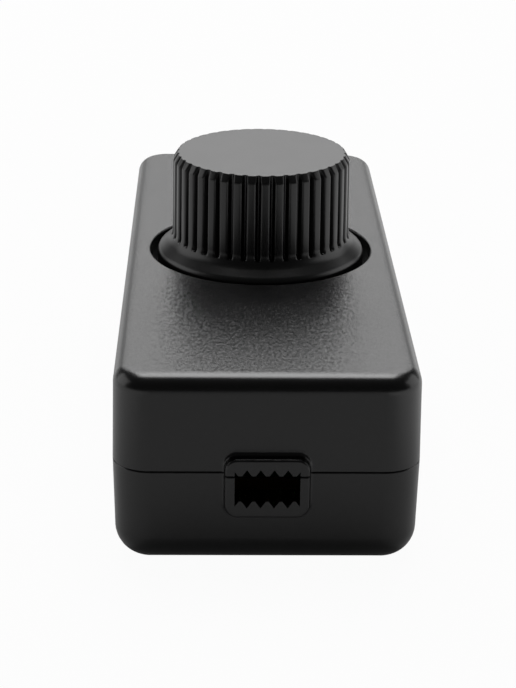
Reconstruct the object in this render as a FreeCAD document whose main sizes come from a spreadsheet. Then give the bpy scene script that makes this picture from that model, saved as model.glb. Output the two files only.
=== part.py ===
import FreeCAD, Part
import math
import os
import re

import Sketcher

# Rotary cord dimmer: a two-shell moulded housing with a serrated cable collar at each end, a fluted knob in
# a round well, and the potentiometer, switch and dimming circuit inside. Millimetres. The origin is in the
# middle of the underside, +Z is up, and +Y runs along the housing, away from the end that shows.

doc = FreeCAD.newDocument("rotary_cord_dimmer")

# Driving dimensions
DRIVING_SIZES = {
    # Housing
    "body_length": 92.25,
    "body_width": 36.3,
    "body_height": 24.2,
    "parting_height": 12.45,
    "corner_radius": 4.5,
    "cover_edge_radius": 2.1,
    "base_edge_radius": 3.8,
    "cover_draft": 1.0,
    "base_draft": 1.2,
    "parting_bevel": 0.12,
    "wall_thickness": 2.0,
    "tongue_thickness": 0.9,
    "tongue_height": 1.4,
    "moulding_clearance": 0.1,
    "cut_overrun": 1.0,
    # Cable collars and their teeth
    "collar_width": 9.9,
    "collar_rise": 2.2,
    "collar_drop": 5.3,
    "collar_depth": 1.3,
    "collar_corner": 1.5,
    "collar_edge": 0.35,
    "collar_root": 0.5,
    "slot_width": 7.6,
    "slot_drop": 3.1,
    "tooth_depth": 0.88,
    "tooth_flat": 0.3,
    "end_notch_share": 0.8,
    # Housing screws and their posts
    "screw_inset_side": 7.1,
    "screw_inset_end": 7.0,
    "screw_seat": 6.0,
    "screw_length": 13.0,
    "screw_shank_radius": 1.15,
    "screw_head_radius": 2.7,
    "screw_head_height": 2.0,
    "screw_recess_width": 0.7,
    "screw_recess_reach": 1.6,
    "screw_recess_depth": 1.1,
    "screw_clearance": 0.4,
    "screw_bite_clearance": 0.05,
    "post_wall": 2.0,
    "tower_wall": 1.1,
    # Knob and the well it turns in
    "opening_radius": 14.9,
    "opening_edge": 0.3,
    "well_depth": 3.4,
    "well_floor": 1.6,
    "well_wall": 1.2,
    "knob_gap": 1.0,
    "knob_rise": 13.4,
    "knob_sink": 2.2,
    "knob_wall": 1.6,
    "knob_top": 2.0,
    "grip_radius": 11.88,
    "grip_draft": 0.6,
    "crown_bevel": 0.6,
    "crown_drop": 0.95,
    "crown_edge": 0.2,
    "skirt_rise": 0.12,
    "skirt_slope": 40.0,
    "flare_radius": 2.4,
    "rim_edge": 1.0,
    "flute_radius": 0.42,
    "flute_depth": 0.55,
    "flute_rise": 0.2,
    "flute_start": 5.86,
    "hub_radius": 4.9,
    "hub_gap": 0.5,
    # Potentiometer
    "shaft_radius": 3.0,
    "shaft_flat": 1.5,
    "shaft_fit": 0.02,
    "running_clearance": 0.04,
    "bushing_radius": 3.5,
    "bushing_height": 5.2,
    "bushing_clearance": 0.1,
    "washer_radius": 5.6,
    "washer_thickness": 0.4,
    "nut_flats": 10.0,
    "nut_height": 2.0,
    "pot_radius": 8.3,
    "plate_thickness": 1.2,
    "tab_radius": 0.9,
    "tab_offset": 6.6,
    "tab_height": 1.2,
    "wafer_thickness": 1.4,
    "wafer_tongue_width": 13.0,
    "wafer_tongue_reach": 12.4,
    "pot_pin_pitch": 5.0,
    "pot_pin_inset": 1.2,
    "can_wall": 0.4,
    "can_depth": 4.4,
    "rotor_radius": 6.8,
    "rotor_thickness": 2.2,
    "rotor_clearance": 0.6,
    "wiper_radius": 5.6,
    "wiper_width": 1.2,
    "wiper_thickness": 0.3,
    "wiper_clearance": 0.1,
    "switch_width": 15.0,
    "switch_depth": 12.0,
    "switch_height": 3.6,
    "switch_pin_inset": 2.5,
    # Circuit board and its supports
    "standoff_height": 2.4,
    "standoff_radius": 2.2,
    "peg_radius": 1.0,
    "peg_tip": 1.0,
    "peg_inset_side": 3.3,
    "peg_inset_end": 4.2,
    "board_thickness": 1.6,
    "board_side_gap": 1.2,
    "board_end_gap": 0.6,
    "pin_radius": 0.4,
    "pin_hole_clearance": 0.1,
    "pin_tail": 1.2,
    # Terminal blocks
    "block_width": 10.4,
    "block_depth": 8.0,
    "block_height": 9.5,
    "block_end_gap": 0.6,
    "pole_pitch": 5.0,
    "cage_width": 3.4,
    "cage_depth": 5.4,
    "cage_height": 4.6,
    "cage_wall": 0.6,
    "cage_lift": 1.4,
    "cage_clearance": 0.1,
    "clamp_screw_radius": 1.0,
    "clamp_screw_slot": 0.5,
    "clamp_screw_bite": 0.9,
    # Triac and heat sink
    "triac_x": 8.0,
    "triac_offset": 2.6625,
    "triac_width": 7.8,
    "triac_thickness": 2.8,
    "triac_height": 10.0,
    "triac_leg": 0.6,
    "triac_pitch": 2.28,
    "sink_width": 12.6,
    "sink_thickness": 1.0,
    "sink_flange": 4.0,
    "sink_height": 12.0,
    "sink_screw_radius": 1.5,
    "sink_screw_head": 2.6,
    "sink_screw_head_height": 1.4,
    "sink_screw_drop": 2.6,
    # Choke, capacitors, diac, resistors and fuse
    "choke_x": -9.0,
    "choke_y": 15.6,
    "choke_radius": 5.0,
    "choke_height": 11.0,
    "choke_flange": 1.4,
    "choke_core_radius": 2.0,
    "winding_inset": 0.4,
    "lead_span": 5.0,
    "film_x": 6.8,
    "film_y": 18.3,
    "film_length": 13.0,
    "film_thickness": 6.0,
    "film_height": 12.0,
    "timing_x": 7.0,
    "timing_y": 12.8,
    "timing_length": 7.2,
    "timing_thickness": 3.5,
    "timing_height": 7.5,
    "diac_x": -1.8,
    "diac_y": 15.4,
    "diac_radius": 0.95,
    "diac_length": 4.2,
    "resistor_x": -2.5,
    "resistor_y": -16.7,
    "resistor_radius": 1.2,
    "resistor_length": 6.4,
    "resistor_pitch": 2.8,
    "axial_lead_radius": 0.3,
    "axial_lead_reach": 1.0,
    "axial_bend": 0.7,
    "fuse_x": -9.8,
    "fuse_y": -17.4,
    "fuse_radius": 4.2,
    "fuse_height": 7.7,
}

# Counts
TEETH = 5
FLUTES = 40
POT_PINS = (-1, 0, 1)
POLES = (-0.5, 0.5)
ENDS = (-1, 1)
CORNERS = ((-1, -1), (1, -1), (1, 1), (-1, 1))

# Sizes that follow from the driving ones
DERIVED_SIZES = {
    "half_width": "body_width / 2",
    "half_length": "body_length / 2",
    "cover_height": "body_height - parting_height",
    "cavity_half_width": "half_width - wall_thickness",
    "collar_reach": "half_length + collar_depth",
    "collar_span": "2 * collar_reach",
    "through_cut": "collar_span + 2 * cut_overrun",
    "tooth_pitch": f"slot_width / ({TEETH} - 1 + end_notch_share)",
    "tooth_run": "(tooth_pitch - tooth_flat) / 2",
    "end_notch": "tooth_depth * (end_notch_share * tooth_pitch - tooth_flat) / 2 / tooth_run",
    "upper_tip": "parting_height",
    "lower_tip": "parting_height - slot_drop",
    "screw_x": "half_width - screw_inset_side",
    "screw_y": "half_length - screw_inset_end",
    "pilot_radius": "screw_shank_radius + screw_bite_clearance",
    "pilot_depth": "screw_seat + screw_length + 2 * screw_clearance - parting_height",
    "post_radius": "pilot_radius + post_wall",
    "bore_radius": "screw_head_radius + screw_clearance",
    "tower_radius": "bore_radius + tower_wall",
    "well_top": "body_height - well_depth",
    "well_under": "well_top - well_floor",
    "bushing_top": "well_under + bushing_height",
    "knob_crown": "body_height + knob_rise",
    "crown_foot": "knob_crown - crown_drop",
    "rim_radius": "opening_radius - knob_gap",
    "rim_top": "body_height + skirt_rise",
    "skirt_top": "rim_top + (rim_radius - grip_radius) * tan(skirt_slope)",
    "flute_foot": "skirt_top + flute_rise",
    "crown_radius": "grip_radius - (crown_foot - skirt_top) * tan(grip_draft)",
    "crown_flat": "crown_radius - crown_bevel",
    "knob_inner": "grip_radius - flute_depth - knob_wall",
    "skirt_inner": "rim_radius - knob_wall",
    "skirt_ceiling": "rim_top - knob_wall / 2",
    "skirt_foot": "body_height - knob_sink",
    "hub_foot": "bushing_top + hub_gap",
    "bore_top": "knob_crown - knob_top",
    "shaft_top": "bore_top - hub_gap",
    "plate_under": "well_under - plate_thickness",
    "wafer_under": "plate_under - wafer_thickness",
    "can_inner": "pot_radius - can_wall",
    "can_foot": "wafer_under - can_depth",
    "rotor_foot": "can_foot + can_wall + rotor_clearance",
    "rotor_top": "rotor_foot + rotor_thickness",
    "board_under": "wall_thickness + standoff_height",
    "board_top": "board_under + board_thickness",
    "board_width": "2 * (cavity_half_width - board_side_gap)",
    "board_length": "2 * (screw_y - tower_radius - board_end_gap)",
    "pin_foot": "board_under - pin_tail",
    "pin_hole": "pin_radius + pin_hole_clearance",
    "pot_pin_y": "wafer_tongue_reach - pot_pin_inset",
    "switch_foot": "can_foot - switch_height",
    "switch_pin_x": "switch_width / 2 - switch_pin_inset",
    "switch_pin_y": "switch_depth / 2 - switch_pin_inset",
    "peg_x": "board_width / 2 - peg_inset_side",
    "peg_y": "board_length / 2 - peg_inset_end",
    "block_y": "board_length / 2 - block_end_gap - block_depth / 2",
    "cage_foot": "board_top + cage_lift",
    "cage_top": "cage_foot + cage_height",
    "clamp_screw_foot": "cage_top - cage_wall - clamp_screw_bite",
    "block_inner": "block_y - block_depth / 2",
    "triac_y": "triac_offset - (wafer_tongue_reach + block_inner) / 2",
    "triac_foot": "board_top + triac_leg",
    "sink_y": "triac_y - triac_thickness / 2",
    "sink_screw_z": "triac_foot + triac_height - sink_screw_drop",
}

sheet = doc.addObject("Spreadsheet::Sheet", "Dimensions")
for row, (alias, size) in enumerate(DRIVING_SIZES.items(), start=1):
    sheet.set(f"A{row}", alias)
    sheet.set(f"B{row}", str(size))
    sheet.setAlias(f"B{row}", alias)
doc.recompute()

subparts = []
board_pins = []


# Formulas

def formula(text):
    """Spells a formula out in sheet cells: a driving name becomes its cell, a derived one its own formula."""
    def spell(match):
        word = match.group(0)
        if word in DERIVED_SIZES:
            return "(" + formula(DERIVED_SIZES[word]) + ")"
        return f"Dimensions.{word}" if word in DRIVING_SIZES else word

    return re.sub(r"[a-z_]+", spell, str(text))


def value(text):
    """The number that a formula gives now."""
    return float(sheet.evalExpression(formula(text)))


def bind(feature, property_name, text):
    feature.setExpression(property_name, formula(text))


def place(feature, x, y, z):
    for axis, text in zip("xyz", (x, y, z)):
        bind(feature, f".Placement.Base.{axis}", text)


def subpart(feature, label):
    """Keeps a finished sub-part, under the name of its file."""
    feature.Label = label
    subparts.append(feature)
    return feature


# Solids made from primitives

def cylinder(name, radius, height, x=0, y=0, z=0, along_y=False):
    """Stands on z, or lies along Y from y."""
    feature = doc.addObject("Part::Cylinder", name)
    bind(feature, "Radius", radius)
    bind(feature, "Height", height)
    if along_y:
        feature.Placement.Rotation = FreeCAD.Rotation(FreeCAD.Vector(1, 0, 0), -90)
    place(feature, x, y, z)
    return feature


def box(name, width, depth, height, x=0, y=0, z=0):
    """Centred on x and y, standing on z."""
    feature = doc.addObject("Part::Box", name)
    bind(feature, "Length", width)
    bind(feature, "Width", depth)
    bind(feature, "Height", height)
    place(feature, f"{x} - ({width}) / 2", f"{y} - ({depth}) / 2", z)
    return feature


def fuse(name, pieces):
    feature = doc.addObject("Part::MultiFuse", name)
    feature.Shapes = pieces
    return feature


def cut(name, base, tools):
    feature = doc.addObject("Part::Cut", name)
    feature.Base = base
    feature.Tool = tools[0] if len(tools) == 1 else fuse(f"{name}_tools", tools)
    return feature


def group(name, pieces):
    feature = doc.addObject("Part::Compound", name)
    feature.Links = pieces
    return feature


def mirrored(name, source, normal):
    feature = doc.addObject("Part::Mirroring", name)
    feature.Source = source
    feature.Normal = FreeCAD.Vector(*normal)
    return feature


def board_pin(name, x, y, top, radius="pin_radius"):
    """A solder pin from top down through the board, which gets a hole for it."""
    board_pins.append((x, y, radius))
    return cylinder(name, radius, f"{top} - pin_foot", x, y, "pin_foot")


# Sketches and features of a body

def new_sketch(body, name, role, offset=0):
    """A sketch on one of the body's origin planes, moved along the plane's normal."""
    sketch = body.newObject("Sketcher::SketchObject", name)
    support = next(f for f in body.Origin.OriginFeatures if f.Role == role)
    sketch.AttachmentSupport = (support, [""])
    sketch.MapMode = "FlatFace"
    bind(sketch, ".AttachmentOffset.Base.z", offset)
    return sketch


def measure(sketch, kind, *geometry_and_text):
    """A dimension of the sketch, driven by a formula."""
    *geometry, text = geometry_and_text
    index = sketch.addConstraint(Sketcher.Constraint(kind, *geometry, value(text)))
    bind(sketch, f"Constraints[{index}]", text)


def locate(sketch, element, point, x, y):
    """Holds a point of the sketch at formulas x and y from the origin."""
    for kind, axis, text in (("DistanceX", -2, x), ("DistanceY", -1, y)):
        if str(text) == "0":
            sketch.addConstraint(Sketcher.Constraint("PointOnObject", element, point, axis))
        else:
            measure(sketch, kind, -1, 1, element, point, text)


def add_circle(sketch, radius, x=0, y=0):
    centre = FreeCAD.Vector(value(x), value(y), 0)
    element = sketch.addGeometry(Part.Circle(centre, FreeCAD.Vector(0, 0, 1), value(radius)))
    measure(sketch, "Radius", element, radius)
    locate(sketch, element, 3, x, y)


def add_polygon(sketch, points):
    """A closed outline of corners that are pairs of formulas. A third formula rounds the corner."""
    corners = [FreeCAD.Vector(value(x), value(y), 0) for x, y, *rounding in points]
    ways = [(b - a).normalize() for a, b in zip(corners, corners[1:] + corners[:1])]
    turns = [before.getAngle(after) for before, after in zip(ways[-1:] + ways[:-1], ways)]
    sizes = [value(rounding[0]) if rounding else 0.0 for x, y, *rounding in points]
    trims = [size * math.tan(turn / 2) for size, turn in zip(sizes, turns)]
    lines = []
    for i, way in enumerate(ways):
        j = (i + 1) % len(points)
        segment = Part.LineSegment(corners[i] + way * trims[i], corners[j] - way * trims[j])
        lines.append(sketch.addGeometry(segment))
    for i, (x, y, *rounding) in enumerate(points):
        before = lines[i - 1]
        if not rounding:
            sketch.addConstraint(Sketcher.Constraint("Coincident", before, 2, lines[i], 1))
            locate(sketch, lines[i], 1, x, y)
            continue
        inwards = (ways[i] - ways[i - 1]).normalize()
        centre = corners[i] + inwards * (sizes[i] / math.cos(turns[i] / 2))
        middle = math.atan2(-inwards.y, -inwards.x)
        circle = Part.Circle(centre, FreeCAD.Vector(0, 0, 1), sizes[i])
        arc = sketch.addGeometry(Part.ArcOfCircle(circle, middle - turns[i] / 2, middle + turns[i] / 2))
        turns_left = ways[i - 1].cross(ways[i]).z > 0
        first, last = (1, 2) if turns_left else (2, 1)
        sketch.addConstraint(Sketcher.Constraint("Tangent", before, 2, arc, first))
        sketch.addConstraint(Sketcher.Constraint("Tangent", arc, last, lines[i], 1))
        measure(sketch, "Radius", arc, rounding[0])
        corner = sketch.addGeometry(Part.Point(corners[i]), True)
        sketch.addConstraint(Sketcher.Constraint("PointOnObject", corner, 1, before))
        sketch.addConstraint(Sketcher.Constraint("PointOnObject", corner, 1, lines[i]))
        locate(sketch, corner, 1, x, y)


def add_rounded_rectangle(sketch, left, right, bottom, top, radii):
    """Radii run anticlockwise from the lower left corner, and None leaves a corner sharp."""
    corners = [(left, bottom), (right, bottom), (right, top), (left, top)]
    corners = [FreeCAD.Vector(value(x), value(y), 0) for x, y in corners]
    ways = [FreeCAD.Vector(*way, 0) for way in ((1, 0), (0, 1), (-1, 0), (0, -1))]
    sizes = [value(radius) if radius else 0.0 for radius in radii]
    lines = []
    for i, way in enumerate(ways):
        j = (i + 1) % 4
        segment = Part.LineSegment(corners[i] + way * sizes[i], corners[j] - way * sizes[j])
        lines.append(sketch.addGeometry(segment))
        level = "Horizontal" if i % 2 == 0 else "Vertical"
        sketch.addConstraint(Sketcher.Constraint(level, lines[i]))
    for i, radius in enumerate(radii):
        before = lines[i - 1]
        if radius is None:
            sketch.addConstraint(Sketcher.Constraint("Coincident", before, 2, lines[i], 1))
            continue
        centre = corners[i] + (ways[i] - ways[i - 1]) * sizes[i]
        circle = Part.Circle(centre, FreeCAD.Vector(0, 0, 1), sizes[i])
        start = math.pi + i * math.pi / 2
        arc = sketch.addGeometry(Part.ArcOfCircle(circle, start, start + math.pi / 2))
        sketch.addConstraint(Sketcher.Constraint("Tangent", before, 2, arc, 1))
        sketch.addConstraint(Sketcher.Constraint("Tangent", arc, 2, lines[i], 1))
        measure(sketch, "Radius", arc, radius)
    for line, kind, text in zip(lines, ("DistanceY", "DistanceX") * 2, (bottom, right, top, left)):
        measure(sketch, kind, -1, 1, line, 1, text)


def add_flatted_circle(sketch, radius, flat):
    """A circle on the origin with one flat, at flat from the centre towards +Y."""
    reach = math.sqrt(value(radius) ** 2 - value(flat) ** 2)
    turn = math.atan2(value(flat), reach)
    circle = Part.Circle(FreeCAD.Vector(0, 0, 0), FreeCAD.Vector(0, 0, 1), value(radius))
    arc = sketch.addGeometry(Part.ArcOfCircle(circle, math.pi - turn, 2 * math.pi + turn))
    ends = [FreeCAD.Vector(side * reach, value(flat), 0) for side in (1, -1)]
    line = sketch.addGeometry(Part.LineSegment(*ends))
    sketch.addConstraint(Sketcher.Constraint("Coincident", arc, 3, -1, 1))
    sketch.addConstraint(Sketcher.Constraint("Coincident", arc, 2, line, 1))
    sketch.addConstraint(Sketcher.Constraint("Coincident", line, 2, arc, 1))
    sketch.addConstraint(Sketcher.Constraint("Horizontal", line))
    measure(sketch, "Radius", arc, radius)
    measure(sketch, "DistanceY", -1, 1, line, 1, flat)


def extrude(body, kind, sketch, length, flip=False, both_ways=False):
    """A Pad or a Pocket of a sketch. A Pad follows the sketch's normal and a Pocket goes against it."""
    feature = body.newObject(f"PartDesign::{kind}", f"{sketch.Name}_{kind.lower()}")
    feature.Profile = sketch
    feature.Reversed = flip
    if both_ways:
        feature.SideType = "Symmetric"
    bind(feature, "Length", length)
    doc.recompute()
    return feature


def revolve(body, sketch):
    feature = body.newObject("PartDesign::Revolution", f"{sketch.Name}_turn")
    feature.Profile = sketch
    feature.ReferenceAxis = (sketch, ["V_Axis"])
    feature.Angle = 360
    doc.recompute()
    return feature


def edges_of(feature, wanted):
    return [f"Edge{i}" for i, edge in enumerate(feature.Shape.Edges, start=1) if wanted(edge)]


def faces_of(feature, wanted):
    return [f"Face{i}" for i, face in enumerate(feature.Shape.Faces, start=1) if wanted(face)]


def round_edges(body, base, name, radius, wanted):
    feature = body.newObject("PartDesign::Fillet", name)
    feature.Base = (base, edges_of(base, wanted))
    bind(feature, "Radius", radius)
    doc.recompute()
    return feature


def bevel_edges(body, base, name, size, wanted):
    feature = body.newObject("PartDesign::Chamfer", name)
    feature.Base = (base, edges_of(base, wanted))
    bind(feature, "Size", size)
    doc.recompute()
    return feature


def taper_sides(body, base, name, angle, neutral_height, flip=False):
    """Drafts a block's upright faces about its face at neutral_height: narrower upwards, or downwards."""
    level = value(neutral_height)
    feature = body.newObject("PartDesign::Draft", name)
    feature.Base = (base, faces_of(base, lambda f: abs(f.normalAt(0, 0).z) < 0.5))
    feature.NeutralPlane = (base, faces_of(base, lambda f: all(near(v.Z, level) for v in f.Vertexes)))
    feature.Reversed = flip
    bind(feature, "Angle", angle)
    doc.recompute()
    return feature


def near(a, b):
    return abs(a - b) < 1e-4


def lies_at(edge, axis, level):
    """True if every end of an edge is at that level of an axis, on either side of the origin."""
    return all(near(abs(getattr(v, axis)), level) for v in edge.Vertexes)


# Outlines that both shells share

def add_plan(sketch, inset):
    """The housing's outline in plan, drawn in by inset."""
    x = f"half_width - ({inset})"
    y = f"half_length - ({inset})"
    radius = f"corner_radius - ({inset})"
    add_rounded_rectangle(sketch, f"-({x})", x, f"-({y})", y, [radius] * 4)


def add_circles_at_corners(sketch, radius, x, y):
    for side, end in CORNERS:
        add_circle(sketch, radius, f"{side} * {x}", f"{end} * {y}")


def tooth_outline(mouth, tip, depth_sign):
    """A slot from its mouth to a row of cable teeth, with notches from tip to tooth_depth beyond it."""
    reach = TEETH // 2
    points = [("-slot_width / 2", mouth), ("-slot_width / 2", f"{tip} + {depth_sign} * end_notch")]
    for tooth in range(-reach, reach + 1):
        points.append((f"{tooth} * tooth_pitch - tooth_flat / 2", tip))
        points.append((f"{tooth} * tooth_pitch + tooth_flat / 2", tip))
        if tooth < reach:
            points.append((f"{tooth + 0.5} * tooth_pitch", f"{tip} + {depth_sign} * tooth_depth"))
    points.append(("slot_width / 2", f"{tip} + {depth_sign} * end_notch"))
    points.append(("slot_width / 2", mouth))
    return points


def is_collar_root(edge):
    """True for an edge where a collar's wall meets an end face of the housing."""
    limits = {"X": value("collar_width / 2"), "Y": value("half_length")}
    for axis, limit in limits.items():
        reaches = [abs(getattr(v, axis)) for v in edge.Vertexes]
        if not all(reach < limit or near(reach, limit) for reach in reaches):
            return False
    return not lies_at(edge, "Z", value("parting_height"))


def add_collar(body, name, bottom, top, radii):
    """The half of both cable collars that belongs to one shell, and the bevel along the parting line."""
    profile = new_sketch(body, f"{name}_collar", "XZ_Plane")
    add_rounded_rectangle(profile, "-collar_width / 2", "collar_width / 2", bottom, top, radii)
    bar = extrude(body, "Pad", profile, "collar_span", both_ways=True)
    reach = value("collar_reach")
    split = value("parting_height")
    rounded = round_edges(body, bar, f"{name}_collar_edge", "collar_edge",
                          lambda e: lies_at(e, "Y", reach) and not lies_at(e, "Z", split))
    rooted = round_edges(body, rounded, f"{name}_collar_root", "collar_root", is_collar_root)
    bevel_edges(body, rooted, f"{name}_parting_bevel", "parting_bevel", lambda e: lies_at(e, "Z", split))


# Upper cover: flat top with a round well for the knob, upper cable teeth, and four screw posts

def make_upper_cover():
    body = doc.addObject("PartDesign::Body", "upper_cover")
    outline = new_sketch(body, "cover_outline", "XY_Plane", "parting_height")
    add_plan(outline, 0)
    block = extrude(body, "Pad", outline, "cover_height")
    block = taper_sides(body, block, "cover_draft_faces", "cover_draft", "parting_height")
    top = value("body_height")
    round_edges(body, block, "cover_top_edge", "cover_edge_radius", lambda e: lies_at(e, "Z", top))
    add_collar(body, "cover", "parting_height", "parting_height + collar_rise",
               [None, None, "collar_corner", "collar_corner"])

    cavity = new_sketch(body, "cover_cavity", "XY_Plane", "parting_height")
    add_plan(cavity, "wall_thickness")
    extrude(body, "Pocket", cavity, "cover_height - wall_thickness", flip=True)
    rebate = new_sketch(body, "cover_rebate", "XY_Plane", "parting_height")
    add_plan(rebate, "wall_thickness - tongue_thickness - moulding_clearance")
    extrude(body, "Pocket", rebate, "tongue_height + moulding_clearance", flip=True)

    teeth = new_sketch(body, "cover_teeth", "XZ_Plane")
    add_polygon(teeth, tooth_outline("parting_height - moulding_clearance", "upper_tip", 1))
    extrude(body, "Pocket", teeth, "through_cut", both_ways=True)

    well = new_sketch(body, "cover_well", "XY_Plane", "well_under")
    add_circle(well, "opening_radius + well_wall")
    extrude(body, "Pad", well, "body_height - wall_thickness / 2 - well_under")
    opening = new_sketch(body, "cover_opening", "XY_Plane", "body_height")
    add_circle(opening, "opening_radius")
    mouth_cut = extrude(body, "Pocket", opening, "well_depth")
    opening_radius = value("opening_radius")
    round_edges(body, mouth_cut, "cover_opening_edge", "opening_edge",
                lambda e: lies_at(e, "Z", top) and is_circle(e, opening_radius))
    holes = new_sketch(body, "cover_bushing_hole", "XY_Plane", "well_top")
    add_circle(holes, "bushing_radius + bushing_clearance")
    add_circle(holes, "tab_radius + bushing_clearance", 0, "tab_offset")
    extrude(body, "Pocket", holes, "well_floor + cut_overrun")

    posts = new_sketch(body, "cover_posts", "XY_Plane", "parting_height")
    add_circles_at_corners(posts, "post_radius", "screw_x", "screw_y")
    extrude(body, "Pad", posts, "cover_height - wall_thickness / 2")
    pilots = new_sketch(body, "cover_pilots", "XY_Plane", "parting_height")
    add_circles_at_corners(pilots, "pilot_radius", "screw_x", "screw_y")
    extrude(body, "Pocket", pilots, "pilot_depth", flip=True)
    subpart(body, "upper_cover")


def is_circle(edge, radius):
    return isinstance(edge.Curve, Part.Circle) and near(edge.Curve.Radius, radius)


# Lower base: cable slots with teeth, a locating tongue, screw towers and board supports

def make_lower_base():
    body = doc.addObject("PartDesign::Body", "lower_base")
    outline = new_sketch(body, "base_outline", "XY_Plane", "parting_height")
    add_plan(outline, 0)
    block = extrude(body, "Pad", outline, "parting_height", flip=True)
    block = taper_sides(body, block, "base_draft_faces", "base_draft", "parting_height", flip=True)
    round_edges(body, block, "base_bottom_edge", "base_edge_radius", lambda e: lies_at(e, "Z", 0))
    add_collar(body, "base", "parting_height - collar_drop", "parting_height",
               ["collar_corner", "collar_corner", None, None])

    cavity = new_sketch(body, "base_cavity", "XY_Plane", "parting_height")
    add_plan(cavity, "wall_thickness")
    extrude(body, "Pocket", cavity, "parting_height - wall_thickness")
    tongue = new_sketch(body, "base_tongue", "XY_Plane", "parting_height")
    add_plan(tongue, "wall_thickness - tongue_thickness")
    add_plan(tongue, "wall_thickness")
    extrude(body, "Pad", tongue, "tongue_height")

    slot = new_sketch(body, "base_slot", "XZ_Plane")
    add_polygon(slot, tooth_outline("parting_height + tongue_height + moulding_clearance", "lower_tip", -1))
    extrude(body, "Pocket", slot, "through_cut", both_ways=True)

    towers = new_sketch(body, "base_towers", "XY_Plane", "parting_height")
    add_circles_at_corners(towers, "tower_radius", "screw_x", "screw_y")
    extrude(body, "Pad", towers, "parting_height - wall_thickness / 2", flip=True)
    bores = new_sketch(body, "base_screw_bores", "XY_Plane")
    add_circles_at_corners(bores, "bore_radius", "screw_x", "screw_y")
    extrude(body, "Pocket", bores, "screw_seat", flip=True)
    holes = new_sketch(body, "base_screw_holes", "XY_Plane", "parting_height")
    add_circles_at_corners(holes, "screw_shank_radius + screw_clearance", "screw_x", "screw_y")
    extrude(body, "Pocket", holes, "parting_height")

    standoffs = new_sketch(body, "base_standoffs", "XY_Plane", "board_under")
    add_circles_at_corners(standoffs, "standoff_radius", "peg_x", "peg_y")
    extrude(body, "Pad", standoffs, "standoff_height + wall_thickness / 2", flip=True)
    pegs = new_sketch(body, "base_pegs", "XY_Plane", "board_under")
    add_circles_at_corners(pegs, "peg_radius", "peg_x", "peg_y")
    extrude(body, "Pad", pegs, "board_thickness + peg_tip")
    subpart(body, "lower_base")


# Control knob: fluted grip with a bevelled crown and a sloping skirt, hollow, with a flatted bore in its hub

def make_control_knob():
    body = doc.addObject("PartDesign::Body", "control_knob")
    profile = new_sketch(body, "knob_profile", "XZ_Plane")
    add_polygon(profile, [
        (0, "hub_foot"),
        ("hub_radius", "hub_foot"),
        ("hub_radius", "bore_top"),
        ("knob_inner", "bore_top"),
        ("knob_inner", "skirt_ceiling"),
        ("skirt_inner", "skirt_ceiling"),
        ("skirt_inner", "skirt_foot"),
        ("rim_radius", "skirt_foot"),
        ("rim_radius", "rim_top", "rim_edge"),
        ("grip_radius", "skirt_top", "flare_radius"),
        ("crown_radius", "crown_foot", "crown_edge"),
        ("crown_flat", "knob_crown", "crown_edge"),
        (0, "knob_crown"),
    ])
    revolve(body, profile)

    bore = new_sketch(body, "knob_bore", "XY_Plane", "hub_foot")
    add_flatted_circle(bore, "shaft_radius + shaft_fit", "shaft_flat + shaft_fit")
    extrude(body, "Pocket", bore, "bore_top - hub_foot", flip=True)

    flute = new_sketch(body, "knob_flute", "XY_Plane", "knob_crown")
    bind(flute, ".AttachmentOffset.Rotation.Angle", "flute_start")
    add_circle(flute, "flute_radius", "grip_radius - flute_depth + flute_radius", 0)
    groove = extrude(body, "Pocket", flute, "knob_crown - flute_foot")
    pattern = body.newObject("PartDesign::PolarPattern", "knob_flutes")
    pattern.Originals = [groove]
    pattern.Axis = (next(f for f in body.Origin.OriginFeatures if f.Role == "Z_Axis"), [""])
    pattern.Angle = 360
    pattern.Occurrences = FLUTES
    body.Tip = pattern
    doc.recompute()
    subpart(body, "control_knob")


# Housing screws: four pan-head self-tapping screws, driven up from the counterbores in the base

def make_housing_screws():
    body = doc.addObject("PartDesign::Body", "housing_screw")
    profile = new_sketch(body, "screw_profile", "XZ_Plane")
    add_polygon(profile, [
        (0, "-screw_head_height"),
        ("screw_head_radius", "-screw_head_height"),
        ("screw_head_radius", 0),
        ("screw_shank_radius", 0),
        ("screw_shank_radius", "screw_length - screw_shank_radius"),
        (0, "screw_length"),
    ])
    turned = revolve(body, profile)
    drop = value("screw_head_height")
    round_edges(body, turned, "screw_head_edge", "screw_head_height / 2", lambda e: lies_at(e, "Z", drop))
    recess = new_sketch(body, "screw_recess", "XY_Plane", "-screw_head_height")
    half = "screw_recess_width / 2"
    arm = [("screw_recess_reach", half), (half, half), (half, "screw_recess_reach")]
    add_polygon(recess, [turned_quarters(x, y, turn) for turn in range(4) for x, y in arm])
    extrude(body, "Pocket", recess, "screw_recess_depth", flip=True)
    place(body, "screw_x", "screw_y", "screw_seat")
    across = mirrored("screw_across", body, (1, 0, 0))
    pair = group("screw_pair", [body, across])
    along = mirrored("screw_along", pair, (0, 1, 0))
    subpart(group("screw_set", [pair, along]), "housing_screws")


def turned_quarters(x, y, turns):
    """A pair of formulas turned by quarter turns about the origin."""
    for _ in range(turns):
        x, y = f"-({y})", x
    return x, y


# Potentiometer: plate and bushing, washer and nut, track wafer, can, terminals, shaft, rotor and wiper

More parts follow.
